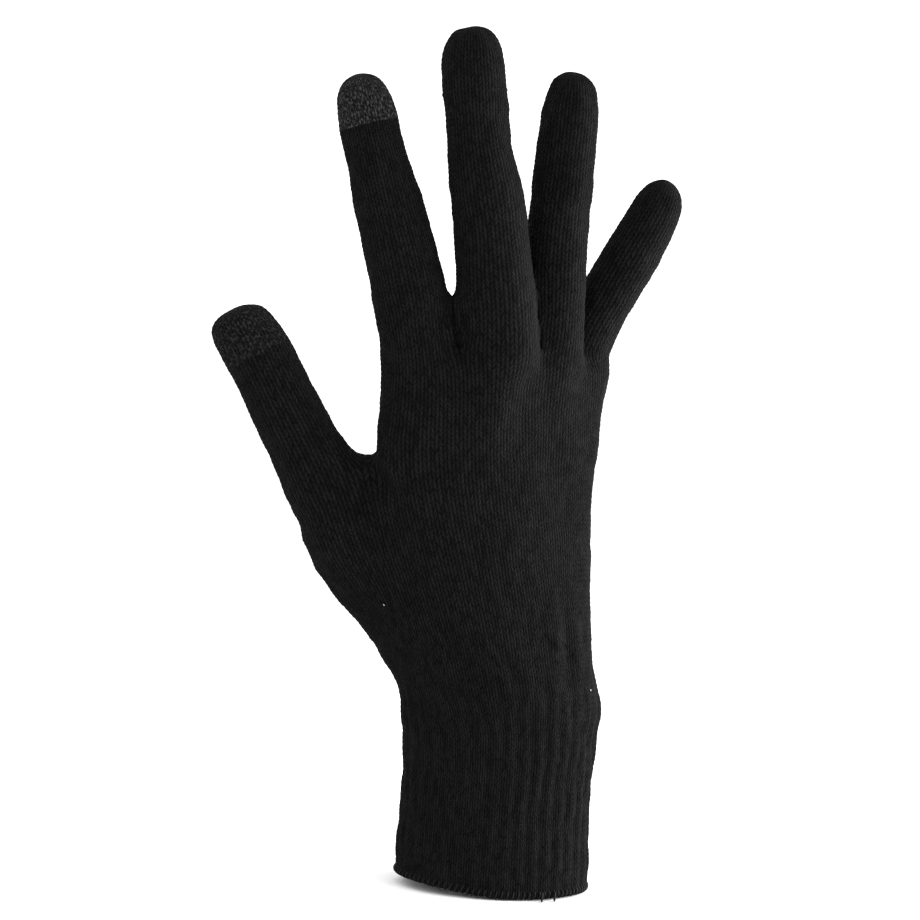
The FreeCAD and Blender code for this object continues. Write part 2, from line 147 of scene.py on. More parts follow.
# Where a finger and the one to its right are one skin above the crotch: (level where it ends,
# how far apart they may be).
FINGER_WEBS = {"index": (163, 6.5), "middle": (189, 4.5), "ring": (172, 3.0)}
WEB_FADE = 4  # how far above and below its level a web fades out
WEB_SINK = 3  # how far inside a finger its neighbour's surface can still draw it out
FINGER_GAP = 0.1  # half the gap between neighbouring fingers
WEB_OVERLAP = 0.8  # how far they go into each other where they are one skin
BARE_REACH = 0.05  # how softly they meet above the web

# How far each digit's knit lies to the left of its axis, as (share of its length, millimetres).
LEAN = {
    "thumb": [(0, 0), (0.5, -0.2), (0.75, -0.5), (1, 0.3)],
    "index": [(0, -0.2), (0.2, -0.7), (0.6, -0.6), (0.8, -0.6), (1, -0.7)],
    "middle": [(0, 0), (0.2, -0.2), (0.35, -0.5), (0.45, -0.2), (0.65, 0.7), (0.85, 0.3),
               (1, -0.4)],
    "ring": [(0, 0), (0.2, 0.4), (0.4, 0.7), (0.6, 0.3), (0.8, 0), (1, 0)],
    "little": [(0, 0), (0.5, -0.2), (0.8, -0.6), (1, -0.2)],
}

LEAN_START = 0.12  # share of a digit's length over which its lean sets in

RELAX_TURNS = 240  # turns in which the loose stitches even out
SETTLE_TURNS = 8  # turns that first put them on the hand's surface
CLOSE_TURNS = 10  # last turns, each of which puts them back on it
PULL, KEPT_SPEED = 0.6, 0.8  # a stitch's pull to the middle of its neighbours, and its inertia
LONGEST_STEP = 3  # the farthest that a stitch is put back at once
ROW_RISE = 0.95  # lowest rise of each course between the wrist and the thumb's crotch
ROOT_DROP = 0.25  # how far the first course of a digit stays below its root

PLACE = "knit_place"  # the UV map that holds each stitch's wale and course numbers
FINE = 2  # subdivision levels of the fine surface
STITCH_HEIGHT = 0.29  # relief of the yarn in a stitch
LEG_SLOPE = 2.1  # courses that a stitch's leg climbs over one wale
LEG_TURN = 0.17  # share of the relief that follows the courses
TIP_FADE = (0.6, 7.5)  # distances from a digit's tip between which the stitches set in
HEM_FADE = 0.6  # share of the relief that is lost inside the hem
RIB_HEIGHT = 0.6  # relief of the cuff's ribs
RIB_TOP = 40  # course where the ribs fade out
RIB_TOP_WAVES = [(2.2, 0.41, 0), (1.5, 1.13, 2)]  # how that course waves: (height, pace, phase)
RIB_FADE = (10, 8)  # courses below and above it over which they fade
RIB_ROUNDNESS = 0.8  # below 1, the ribs are broad and the hollows between them narrow
RIB_AT_EDGE, RIB_FULL = 0.55, 5  # share of the relief at the hem's edge, and where it is whole
KNIT_WALL = 1.35  # from the outer face to the lining

# The fabric's unevenness as (height, size of its bumps, seed): all over, and above the wrist.
SWELLS = [(0.16, 15, 3), (0.09, 5, 4)]
HAND_SWELL, HAND_SWELL_LEVELS = (0.3, 34, 5), (20, 60)
# How the ribs and stitches wander, as (share of a wale or course, size, seed).
RIB_DRIFT = [(0.3, 13, 6), (0.1, 4, 7)]
WALE_DRIFT = [(0.05, 5, 11)]
COURSE_DRIFT = [(0.22, 7, 12), (0.1, 3, 13)]
RIB_STRENGTH = (0.22, 11, 8)

# The raised course where the middle finger's tip begins: its station, height, half width, reach.
TIP_LINE, TIP_LINE_HEIGHT, TIP_LINE_WIDTH, TIP_LINE_REACH = 69.5, 0.22, 0.5, 12

# Soft folds as (route of (x, z) points, depth, width).
FRONT_FOLDS = [
    ([(-22.9, 78), (-15.1, 66.1), (-1.5, 50.6)], 0.55, 2.6),
    ([(12.3, 84), (16, 67), (18.2, 52)], 0.65, 1.7),
    ([(18, 82), (21, 66), (22.5, 50)], 0.35, 1.4),
    ([(-8, 74), (1, 62), (5, 48)], 0.4, 1.8),
    ([(-47, 117), (-39.3, 109.7), (-31, 104)], 0.9, 2.2),
    ([(4.9, 146), (6.5, 128), (6.5, 112)], 0.45, 3.2),
]
BACK_FOLDS = [
    ([(-40, 108), (-27, 92), (-15, 72)], 0.8, 3.0),
    ([(-24, 120), (-2, 116), (16, 108)], 0.6, 2.6),
    ([(-20, 132), (0, 134), (22, 128)], 0.5, 2.4),
]

FOLD_END = 0.08  # how much of its depth a fold keeps at its ends, about a quarter at 0.08
BANK_HEIGHT, BANK_PLACE = 0.45, 1.9  # a fold's banks, as shares of its depth and width
FACING = (0.15, 0.6)  # how squarely the surface faces a side before that side's folds show

# The overlocking round the hem's edge.
OVERLOCK_TURNS, OVERLOCK_STEPS = 96, 14
OVERLOCK_IN, OVERLOCK_LEVEL = 1.05, 1.45
OVERLOCK_HALF_WIDTH, OVERLOCK_HALF_HEIGHT = 1.35, 1.15
THREAD_RADIUS = 0.2

# Yarn colours, and the flecks of silvery fibre in the conductive ones. The thumb's cap is the
# index's conductive yarn painted darker: painted shade, as the thumb faces away from the light.
BLACK_YARN, RIBBED_YARN = (0.0047, 0.0047, 0.0049), (0.0051, 0.0051, 0.0054)
INDEX_YARN, INDEX_FLECK = (0.0045, 0.0045, 0.0048), (0.046, 0.046, 0.048, 1)
THUMB_SHADED_YARN, THUMB_SHADED_FLECK = (0.0036, 0.0036, 0.0038), (0.02, 0.02, 0.0208, 1)
THREAD_COLOR, ELASTIC_COLOR = (0.004, 0.004, 0.0042), (0.03, 0.03, 0.03)
SHEEN, SHEEN_TINT = 0.009, (0.75, 0.78, 0.85, 1)
LINT = (0.45, 0.45, 0.43, 1)
LINT_CELLS = (3.0, 2.0, 1.0)  # cells for each wale and course, each of which may hold a speck
LINT_RARITY, LINT_RADIUS = 0.99993, 0.36

CAMERA, AIM, CAMERA_ROLL, CAMERA_LENS = (-25, -751, 150), (-17.6, 6, 116.6), 4.5, 107
WORLD_LIGHT = 1.6
# Area lamps as (place, power, size), in metres and watts, and the place that they face.
LAMP_AIM = (0, 0, 0.12)
LAMPS = {"key": ((0.5, -0.3, 0.22), 2.3, 0.45), "rim": ((0.52, 0.13, 0.15), 7.5, 0.35)}
FLOOR = 6  # half the floor's size, in metres


def unit(vector):
    return np.asarray(vector, float) / np.linalg.norm(vector)


def lengths(vectors):
    return np.linalg.norm(vectors, axis=1)


def run_length(path):
    """The length of a path up to each of its points."""
    return np.concatenate([[0], np.cumsum(lengths(np.diff(path, axis=0)))])


def beside(points, a, b):
    """Where points lie along the line from a to b, 0 to 1, and how far from it they are."""
    a, b = np.array(a, float), np.array(b, float)
    t = np.clip((points - a) @ (b - a) / ((b - a) @ (b - a)), 0, 1)
    return t, lengths(points - a - t[:, None] * (b - a))


def smooth(low, high, value):
    """0 below low, 1 above high, and a smooth turn between."""
    t = np.clip((value - low) / (high - low), 0, 1)
    return t * t * (3 - 2 * t)


def soft_min(a, b, reach):
    """The lesser of two fields, rounded over where they are within reach of each other."""
    t = np.clip(0.5 + 0.5 * (b - a) / reach, 0, 1)
    return b + (a - b) * t - reach * t * (1 - t)


def add_object(name, data):
    """A new object in the scene."""
    made = bpy.data.objects.new(name, data)
    bpy.context.scene.collection.objects.link(made)
    return made


def curve_through(points, steps, beyond=None):
    """A smooth curve through points; beyond is the point that it heads for after the last one."""
    points = np.array(points, float)
    beyond = 2 * points[-1] - points[-2] if beyond is None else beyond
    ends = np.vstack([2 * points[0] - points[1], points, beyond])
    curve = []
    for a, b, c, d in zip(ends, ends[1:], ends[2:], ends[3:]):
        for t in np.arange(steps) / steps:
            curve.append(0.5 * (2 * b + (c - a) * t + (2 * a - 5 * b + 4 * c - d) * t ** 2
                                + (3 * b - a - 3 * c + d) * t ** 3))
    return np.vstack([curve, points[-1]])


def rounded(points):
    """A digit's outline as a smooth curve, mirrored at its far end so that the tip is round."""
    return curve_through(points, 12, np.array(points[-2]) * (1, -1))


# ---- digits, from the frame

joints = {joint["name"]: joint for joint in frame["joints"]}


class Digit:
    """One digit's axis and outline, read from its joints in the frame."""

    def __init__(self, name):
        knit = KNIT[name]
        self.name, self.wales, self.square = name, knit["wales"], knit["square"]
        swing = joints[name + ("_swing" if name == "thumb" else "_spread")]
        bends = [joints[name + bend] for bend in ("_knuckle_bend", "_middle_bend", "_tip_bend")
                 if name + bend in joints]
        self.along = unit(np.cross(DEPTH, bends[0]["axis"]))
        self.root = np.array(swing["pos_m"]) / MM - self.along * knit["root_fold"] / 2
        self.folds = [(0, knit["root_fold"])]
        for bend, half in zip(bends, knit["halves"]):
            station = (np.array(bend["pos_m"]) / MM - self.root) @ self.along
            self.folds.append((station - half, station + half))
        self.curve = rounded(knit["outline"])
        self.left = np.cross(self.along, DEPTH)
        self.webs = (0 if name == "thumb" else WEB_WALES, 0 if name == "little" else WEB_WALES)
        self.count = 2 * self.wales + sum(self.webs)

    def radius(self, station):
        return np.interp(station, self.curve[:, 0], self.curve[:, 1])

    def field(self, points):
        """About the distance of points from the digit's surface, negative inside."""
        offset = points - self.root
        station = np.clip(offset @ self.along, 0, None)
        return lengths(offset - station[:, None] * self.along) - self.radius(station)

    def ring(self, station, radius=None):
        """The course at a station: one point for each wale, round from the front's left edge."""
        angle = 2 * math.pi * (np.arange(self.count) + self.webs[0] / 2) / self.count
        around = np.outer(np.cos(angle), self.side) + np.outer(np.sin(angle), self.face)
        radius = self.radius(station) if radius is None else radius
        return self.root + self.along * station + around * radius

    def stations(self):
        """The station and radius of each course above the last square one, evenly spaced."""
        start = self.square[-1][1]
        path = self.curve[self.curve[:, 0] > start]
        path = np.vstack([[start, self.radius(start)], path])
        length = run_length(path)
        count = int(round(length[-1] / COURSE))
        even = np.linspace(0, length[-1], count + 1)[1:-1]
        return [(np.interp(x, length, path[:, 0]), np.interp(x, length, path[:, 1])) for x in even]


digits = {name: Digit(name) for name in DIGITS}


def turn_to_neighbours():
    """Turns each finger's wales so that its webs face the fingers beside it."""
    for i, name in enumerate(FINGERS):
        digit = digits[name]
        roots = [digits[other].root for other in FINGERS[max(i - 1, 0):i + 2]]
        sides = [a - b for a, b in zip(roots, roots[1:])]
        flat = [unit(side - (side @ digit.along) * digit.along) for side in sides]
        digit.side = unit(sum(flat))
        face = np.cross(digit.along, digit.side)
        digit.face = face if face @ FRONT > 0 else -face
    thumb = digits["thumb"]
    thumb.side, thumb.face = thumb.left, FRONT


turn_to_neighbours()
crotch_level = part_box("palm_upper")[1].z / MM - CROTCH_DROP

# ---- fields of the palm and the cuff


def cuff_oval(level):
    """The cuff's half width, half depth and centre at a level."""
    levels, *numbers = zip(*CUFF)
    return [np.interp(level, levels, column) for column in numbers]


def cuff_field(points):
    """About the distance of points from the cuff's surface, negative inside."""
    width, depth, centre = cuff_oval(points[:, 2])
    across = points[:, 0] - centre
    x = across * math.cos(CUFF_TURN) + points[:, 1] * math.sin(CUFF_TURN)
    y = points[:, 1] * math.cos(CUFF_TURN) - across * math.sin(CUFF_TURN)
    near = np.hypot(x / width, y / depth)
    return near * (near - 1) / np.maximum(np.hypot(x / width ** 2, y / depth ** 2), 1e-6)


def cone_field(points, low, high):
    """The field of a round cone between two balls given as (x, y, z, radius)."""
    t, away = beside(points, low[:3], high[:3])
    return away - (low[3] + t * (high[3] - low[3]))


thenar = curve_through(THENAR, 3)
rays = [np.polyfit(RAY_LEVELS, numbers, 2) for numbers in RAYS.values()]


def palm_field(points):
    """The field of the palm's rays, the mound below the thumb and the thumb's web."""
    level = np.clip(points[:, 2], PALM_START, RAY_LEVELS[-1])
    total = None
    for ray in rays:
        x, y, half = np.polyval(ray, level[:, None]).T
        away = np.hypot(points[:, 0] - x, points[:, 1] - y) - half
        total = away if total is None else soft_min(total, away, RAY_REACH)
    roof = points[:, 2] - crotch_level
    total = -soft_min(-total, -roof, ROOF_REACH)
    cones = [cone_field(points, low, high) for low, high in zip(thenar, thenar[1:])]
    total = soft_min(total, np.minimum.reduce(cones), THENAR_REACH)
    return soft_min(total, cone_field(points, *THUMB_WEB), THUMB_WEB_REACH)


def hand_field(points):
    """The field that the palm's stitches lie on: cuff, palm, mound and every digit's root."""
    total = palm_field(points)
    for name in DIGITS:
        reach = THUMB_REACH if name == "thumb" else FINGER_REACH
        total = soft_min(total, digits[name].field(points), reach)
    blend = smooth(*CUFF_TO_PALM, points[:, 2])
    return cuff_field(points) * (1 - blend) + total * blend


def digit_field(points, digit):
    """The field of one digit's stitches, kept on their own side of the neighbouring digits."""
    own = digit.field(points)
    reach = THUMB_ROOT_REACH if digit.name == "thumb" else FINGER_REACH
    total = soft_min(own, palm_field(points), reach)
    for left, right in zip(FINGERS, FINGERS[1:]):
        if digit.name in (left, right):
            other = digits[left if digit.name == right else right].field(points)
            level, apart = FINGER_WEBS[left]
            joined = 1 - smooth(level - WEB_FADE, level + WEB_FADE, points[:, 2])
            near = np.maximum(other, own - WEB_SINK)
            total = soft_min(total, near, BARE_REACH + apart * joined)
            total = np.maximum(total, (own - other) / 2 + FINGER_GAP - WEB_OVERLAP * joined)
    return total


# ---- the knitted tube


class Knit:
    """The stitches as points, and the cells between them as quads with wale and course numbers."""

    def __init__(self):
        self.points, self.fixed, self.owner = [], [], []
        self.quads, self.cells, self.piece = [], [], []
        self.planes, self.caps = [], []

    def add(self, points, fixed, owner):
        """Adds points and returns their numbers; owner names the digit whose field they lie on."""
        first = len(self.points)
        self.points += list(points)
        self.fixed += [fixed] * len(points)
        self.owner += [owner] * len(points)
        return list(range(first, first + len(points)))

    def join(self, low, high, wale, course, piece):
        """Fills the band between two courses with cells; wale is the number of the first one."""
        count = len(low)
        for k in range(count):
            n = (k + 1) % count
            self.quads.append((low[k], low[n], high[n], high[k]))
            self.cells.append((wale + k, course))
            self.piece.append(piece)


def cuff_course(row):
    """A course of the cuff, its wales evenly spaced round the oval from the thumb's side."""
    level = max(row * COURSE, HEM_EDGE)
    width, depth, centre = cuff_oval(level)
    angle = np.linspace(0, 2 * math.pi, 721)
    oval = np.column_stack([-width * np.cos(angle), -depth * np.sin(angle)])
    length = run_length(oval)
    even = np.linspace(0, length[-1], WALES + 1)[:-1]
    x, y = (np.interp(even, length, oval[:, i]) for i in (0, 1))
    turned = Matrix.Rotation(CUFF_TURN, 2)
    x, y = (turned[i][0] * x + turned[i][1] * y for i in (0, 1))
    return np.column_stack([x + centre, y, np.full(WALES, float(level))])


def hem_course(row):
    """A course of the hem's inner half, given as the row below the edge."""
    inward, level = HEM_TURN[row]
    ring = cuff_course(0)
    middle = ring.mean(axis=0)
    out = ring - middle
    size = lengths(out)[:, None]
    return middle + out * (size - inward) / size + UP * level


def web_points(crest, across):
    """The stitches in a web's crest, from the back of the hand to the palm's side."""
    steps = np.arange(1, WEB_WALES) / WEB_WALES - 0.5
    return [np.array(crest, float) - unit(across) * WEB_WALES * step for step in steps]


def column_tops():
    """Where each wale of the cuff leads to: its place at the root of its digit."""
    tops, shares = np.zeros((WALES, 3)), np.zeros(WALES)
    for name, digit in digits.items():
        ring = digit.ring(0)
        for place in range(digit.wales + 1):
            front = starts[name] + place
            back = (WALES - front) % WALES
            tops[front] += ring[place]
            shares[front] += 1
            if back != front:
                tops[back] += ring[2 * digit.wales + digit.webs[1] - place]
                shares[back] += 1
    return tops / shares[:, None]


knit = Knit()
# The first front wale of each digit.
starts = {name: sum(digits[other].wales for other in DIGITS[:i]) for i, name in enumerate(DIGITS)}
tops = column_tops()
low_rows = []
for row in range(THUMB_ROW + 1):
    if row <= TURNED_ROW:
        low_rows.append(knit.add(cuff_course(row), True, "palm"))
        continue
    ring = []
    for k, (low, top) in enumerate(zip(cuff_course(TURNED_ROW), tops)):
        thumb = min(k, WALES - k) < digits["thumb"].wales
        up = (row - TURNED_ROW) / ((THUMB_ROW if thumb else CROTCH_ROW) - TURNED_ROW)
        ring.append(low + (top - low) * up)
    low_rows.append(knit.add(ring, False, "palm"))
    if row == BEND_ROW:
        knit.planes.append((low_rows[-1], UP, BEND_ROW * COURSE, "on"))
    if BEND_ROW < row < THUMB_ROW:
        lowest = BEND_ROW * COURSE + ROW_RISE * (row - BEND_ROW)
        knit.planes.append((low_rows[-1], UP, lowest, "above"))

t = digits["thumb"].wales
thumb_web = knit.add(web_points(THUMB_CROTCH, -DEPTH), False, "palm")
thumb_root = low_rows[-1][:t + 1] + thumb_web + low_rows[-1][WALES - t:]
palm_rows = [low_rows[-1][t:WALES - t + 1] + thumb_web[::-1]]
index_left = digits["index"].ring(0)[1 - WEB_WALES:]
for row in range(THUMB_ROW + 1, CROTCH_ROW + 1):
    up = (row - TURNED_ROW) / (CROTCH_ROW - TURNED_ROW)
    base = cuff_course(TURNED_ROW)
    ring = [base[k] + (tops[k] - base[k]) * up for k in range(t, WALES - t + 1)]
    up = (row - THUMB_ROW) / (CROTCH_ROW - THUMB_ROW)
    ring += [knit.points[a] + (b - knit.points[a]) * up
             for a, b in zip(thumb_web[::-1], index_left)]
    palm_rows.append(knit.add(ring, False, "palm"))

webs = {}
for left, right in zip(FINGERS, FINGERS[1:]):
    a, b = digits[left], digits[right]
    gap = b.root - a.root
    share = a.radius(0) / (a.radius(0) + b.radius(0))
    crest = a.root + gap * share
    crest[2] = crotch_level
    across = np.cross(gap * (1, 1, 0), UP)
    webs[left] = knit.add(web_points(crest, across), True, "palm")

hem_rows = [knit.add(hem_course(row), True, "palm") for row in range(len(HEM_TURN))]
for row, (high, low) in enumerate(zip([low_rows[0]] + hem_rows, hem_rows)):
    knit.join(low, high, 0, -1 - row, "cuff")
for row in range(THUMB_ROW):
    piece = "cuff" if row < TURNED_ROW else "wrist" if row < BEND_ROW else "palm_lower"
    knit.join(low_rows[row], low_rows[row + 1], 0, row, piece)
for i in range(len(palm_rows) - 1):
    knit.join(palm_rows[i], palm_rows[i + 1], t, THUMB_ROW + i, "palm_upper")


def digit_root(name):
    """The course that a digit starts from, in the order of its own rings."""
    if name == "thumb":
        return thumb_root
    top = palm_rows[-1]
    first = starts[name] - t
    last = first + digits[name].wales
    back_first, back_last = WALES - 2 * t - last, WALES - 2 * t - first
    ring = top[first:last + 1] + webs.get(name, []) + top[max(back_first, last + 1):back_last + 1]
    if name == "index":
        return ring + top[back_last + 1:]
    return ring + webs[FINGERS[FINGERS.index(name) - 1]][::-1]


for name, digit in digits.items():
    root = digit_root(name)
    knit.planes.append((root, digit.along, -ROOT_DROP + digit.root @ digit.along, "below"))
    first_row = THUMB_ROW if name == "thumb" else CROTCH_ROW
    rings = [root]
    for (low_row, low), (high_row, high) in zip([(0, 0)] + digit.square[1:], digit.square[1:]):
        for j in range(low_row + 1, high_row + 1):
            station = low + (high - low) * (j - low_row) / (high_row - low_row)
            rings.append(knit.add(digit.ring(station), j >= digit.square[1][0], name))
            if j == digit.square[0][0]:
                square = digit.square[0][1] + digit.root @ digit.along
                knit.planes.append((rings[-1], digit.along, square, "on"))
    for station, radius in digit.stations():
        rings.append(knit.add(digit.ring(station, radius), True, name))
    tip = knit.add([digit.root + digit.along * digit.curve[-1][0]], True, name)[0]
    cuts = [row for row, station in digit.square]
    labels = [name + "_root", name + "_lower", name + "_mid"]
    labels += [name + "_tip"] if name != "thumb" else []
    labels += [name + "_cap"] if name in CAPPED else []
    wale = starts[name]
    for j in range(len(rings) - 1):
        label = labels[min(sum(j >= cut for cut in cuts), len(labels) - 1)]
        knit.join(rings[j], rings[j + 1], wale, first_row + j, label)
    knit.caps.append((rings[-1], tip, wale, first_row + len(rings) - 1, labels[-1]))


def relax(knit, turns):
    """Evens out the loose stitches over the hand's surface."""
    points = np.array(knit.points, float)
    loose = ~np.array(knit.fixed)
    owner = np.array(knit.owner)
    quads = np.array(knit.quads)
    edges = np.vstack([quads[:, [0, 1]], quads[:, [1, 2]], quads[:, [2, 3]], quads[:, [3, 0]]])
    edges = np.unique(np.sort(edges, axis=1), axis=0)
    a, b = edges.T
    count = np.bincount(np.concatenate([a, b]), minlength=len(points))[:, None]
    groups = {name: np.nonzero(loose & (owner == name))[0] for name in ["palm"] + DIGITS}
    slopes = np.zeros_like(points)

    def project(points):
        """Puts the loose points back on their fields, and notes which way the surface faces."""
        for name, chosen in groups.items():
            here, step = points[chosen], 0.05
            field = hand_field if name == "palm" else (lambda p: digit_field(p, digits[name]))
            value = field(here)
            slope = np.column_stack([(field(here + step * axis) - value) / step
                                     for axis in np.eye(3)])
            size = np.maximum((slope ** 2).sum(1), 0.3)[:, None]
            back = np.clip(value[:, None] * slope / size, -LONGEST_STEP, LONGEST_STEP)
            points[chosen] = here - back
            slopes[chosen] = slope / np.maximum(lengths(slope), 0.02)[:, None]

    def flatten():
        """Holds the square courses in their planes."""
        for members, normal, place, kind in knit.planes:
            over = points[members] @ normal - place
            if kind != "on":
                over = np.maximum(over, 0) if kind == "below" else np.minimum(over, 0)
            points[members] -= np.where(loose[members], over, 0)[:, None] * normal

    for turn in range(SETTLE_TURNS):
        project(points)
    velocity = np.zeros_like(points)
    for turn in range(turns):
        total = np.zeros_like(points)
        for i in range(3):
            total[:, i] = (np.bincount(a, points[b, i], len(points))
                           + np.bincount(b, points[a, i], len(points)))
        pull = total / np.maximum(count, 1) - points
        pull -= (pull * slopes).sum(1)[:, None] * slopes
        velocity = KEPT_SPEED * velocity + PULL * pull
        velocity -= (velocity * slopes).sum(1)[:, None] * slopes
        points[loose] += velocity[loose]
        flatten()
        if turn % 2 == 0 or turn > turns - CLOSE_TURNS:
            project(points)
    flatten()
    return points


points = relax(knit, RELAX_TURNS)
PIECES = list(dict.fromkeys(knit.piece))

for name, lean in LEAN.items():
    digit = digits[name]
    members = np.nonzero(np.array(knit.owner) == name)[0]
    share = (points[members] - digit.root) @ digit.along / digit.curve[-1, 0]
    profile = curve_through(lean, 10)
    aside = np.interp(share, *profile.T) * smooth(0, LEAN_START, share)
    points[members] += np.outer(aside, digit.left)


def hem_lift(points):
    """How far the hem's edge is raised above the floor: at the thumb's side, and in slow waves."""
    angle = np.arctan2(points[:, 1], points[:, 0])
    wave = HEM_WAVE * (1 - np.cos(3 * (angle + 1.5)))
    lift = HEM_LIFT * smooth(*HEM_LIFT_SIDE, points[:, 0]) + wave
    return lift * (1 - smooth(0, HEM_LIFT_TOP, points[:, 2]))


points[:, 2] += hem_lift(points)

# ---- the fine surface


def fine_surface(points, levels):
    """The subdivided stitches: points, faces, piece numbers, and places as (wale, course)."""
    faces = [list(quad) for quad in knit.quads]
    places = []
    for wale, course in knit.cells:
        places += [(wale, course), (wale + 1, course), (wale + 1, course + 1), (wale, course + 1)]
    labels = list(knit.piece)
    for ring, tip, wale, course, label in knit.caps:
        for k, (a, b) in enumerate(zip(ring, ring[1:] + ring[:1])):
            faces.append([a, b, tip])
            places += [(wale + k, course), (wale + k + 1, course), (wale + k + 0.5, course + 1)]
            labels.append(label)
    mesh = bpy.data.meshes.new("stitches")
    mesh.from_pydata([tuple(point) for point in points], [], faces)
    mesh.uv_layers.new(name=PLACE).uv.foreach_set("vector", np.array(places, np.float32).ravel())
    mesh.polygons.foreach_set("material_index", [PIECES.index(label) for label in labels])
    whole = add_object("stitches", mesh)
    modifier = whole.modifiers.new("fine", "SUBSURF")
    modifier.levels = modifier.render_levels = levels
    modifier.uv_smooth = "NONE"
    fine = whole.evaluated_get(bpy.context.evaluated_depsgraph_get()).to_mesh()
    read = {}
    for key, source, field, width, kind in (
            ("points", fine.vertices, "co", 3, np.float32),
            ("corners", fine.loops, "vertex_index", 1, np.int32),
            ("pieces", fine.polygons, "material_index", 1, np.int32),
            ("places", fine.uv_layers[PLACE].uv, "vector", 2, np.float32)):
        read[key] = np.empty(len(source) * width, kind)
        source.foreach_get(field, read[key])
    bpy.data.objects.remove(whole)
    return (read["points"].reshape(-1, 3).astype(float), read["corners"].reshape(-1, 4),
            read["pieces"], read["places"].reshape(-1, 4, 2))


def vertex_normals(points, faces):
    """The smooth normal at each point of a mesh of quads."""
    corners = [points[faces[:, i]] for i in range(4)]
    across = np.cross(corners[2] - corners[0], corners[3] - corners[1])
    total = np.column_stack([np.bincount(faces.ravel(), np.repeat(across[:, i], 4), len(points))
                             for i in range(3)])
    return total / np.maximum(lengths(total), 1e-9)[:, None]


def unevenness(points, size, seed):
    """A smooth random swing between about -1 and 1 with bumps of a size in millimetres."""
    draw = np.random.default_rng(seed)
    total = np.zeros(len(points))
    waves = 14
    for wave in range(waves):
        way = draw.normal(size=3)
        way *= 2 * math.pi / (size * draw.uniform(0.7, 1.6)) / np.linalg.norm(way)
        total += np.cos(points @ way + draw.uniform(0, 2 * math.pi))
    return total / math.sqrt(waves)


def drift(points, parts):
    """The sum of several kinds of unevenness, given as (amount, size, seed)."""
    return sum(amount * unevenness(points, size, seed) for amount, size, seed in parts)


def fold_shape(points, route, depth, width, side):
    """A soft crease along a route of (x, z) points, a groove with banks; side says where it is."""
    flat = points[:, [0, 2]]
    near = np.full(len(points), 1e9)
    along = np.zeros(len(points))
    total = sum(math.dist(a, b) for a, b in zip(route, route[1:]))
    gone = 0
    for a, b in zip(route, route[1:]):
        t, away = beside(flat, a, b)
        closer = away < near
        along[closer] = ((gone + t * math.dist(a, b)) / total)[closer]
        near = np.minimum(near, away)
        gone += math.dist(a, b)
    ends = np.clip(np.sin(math.pi * (FOLD_END + (1 - 2 * FOLD_END) * along)), 0, 1)
    banks = BANK_HEIGHT * np.exp(-((near - BANK_PLACE * width) / width) ** 2)
    return -depth * ends * (np.exp(-(near / width) ** 2) - banks) * side


def stitch_shape(wale, course):
    """The height of the yarn in a stocking stitch, 0 to 1: two legs that lean apart."""
    across = np.abs(wale % 1 - 0.5)
    leg = np.clip(1 - (np.abs(across - 0.25) / 0.25) ** 2, 0, 1)
    turn = np.cos(2 * math.pi * (course - LEG_SLOPE * across))
    return leg * (1 - LEG_TURN + LEG_TURN * turn)


def rib_shape(wale):
    """The height of the cuff's ribs, 0 to 1: two raised wales and one sunk between them."""
    rib = 0.5 + 0.5 * np.cos(2 * math.pi * (wale - 1) / 3)
    return rib ** RIB_ROUNDNESS


# Subdivision pulls the surface in from its points, so they are first moved out by as much.
points += points - fine_surface(points, 1)[0][:len(points)]
fine_points, fine_faces, fine_pieces, fine_places = fine_surface(points, FINE)
smooth_normals = vertex_normals(fine_points, fine_faces)
place = np.zeros((len(fine_points), 2))
place[fine_faces.ravel()] = fine_places.reshape(-1, 2)
wale, course = place.T

tips = [digit.root + digit.along * digit.curve[-1, 0] for digit in digits.values()]
tip_near = np.minimum.reduce([lengths(fine_points - tip) for tip in tips])
turned_in = smooth(0, -2, course)
rib_top = sum((high * np.sin(wale * pace + phase) for high, pace, phase in RIB_TOP_WAVES), RIB_TOP)
rib_fade = 1 - smooth(rib_top - RIB_FADE[0], rib_top + RIB_FADE[1], course)
rib = rib_shape(wale + drift(fine_points, RIB_DRIFT)) * rib_fade * (1 - turned_in)
rib *= np.clip(1 - RIB_STRENGTH[0] + drift(fine_points, [RIB_STRENGTH]), 0.3, 1.2)
rib *= RIB_AT_EDGE + (1 - RIB_AT_EDGE) * smooth(0, RIB_FULL, course)
loose_wale = wale + drift(fine_points, WALE_DRIFT)
loose_course = course + drift(fine_points, COURSE_DRIFT)
height = STITCH_HEIGHT * (stitch_shape(loose_wale, loose_course) - 0.5)
height *= smooth(*TIP_FADE, tip_near) * (1 - HEM_FADE * turned_in)
height += RIB_HEIGHT * (rib - 0.5 * (rib > 0))
height += drift(fine_points, SWELLS)
height += drift(fine_points, [HAND_SWELL]) * smooth(*HAND_SWELL_LEVELS, fine_points[:, 2])
for way, folds in ((FRONT, FRONT_FOLDS), (-FRONT, BACK_FOLDS)):
    side = smooth(*FACING, smooth_normals @ way)
    for route, depth, width in folds:
        height += fold_shape(fine_points, route, depth, width, side)
from_line = fine_points - digits["middle"].root - digits["middle"].along * TIP_LINE
line = TIP_LINE_HEIGHT * np.exp(-(from_line @ digits["middle"].along / TIP_LINE_WIDTH) ** 2)
height += line * (lengths(from_line) < TIP_LINE_REACH)
fine_points = fine_points + smooth_normals * height[:, None]
fine_normals = vertex_normals(fine_points, fine_faces)

# ---- materials


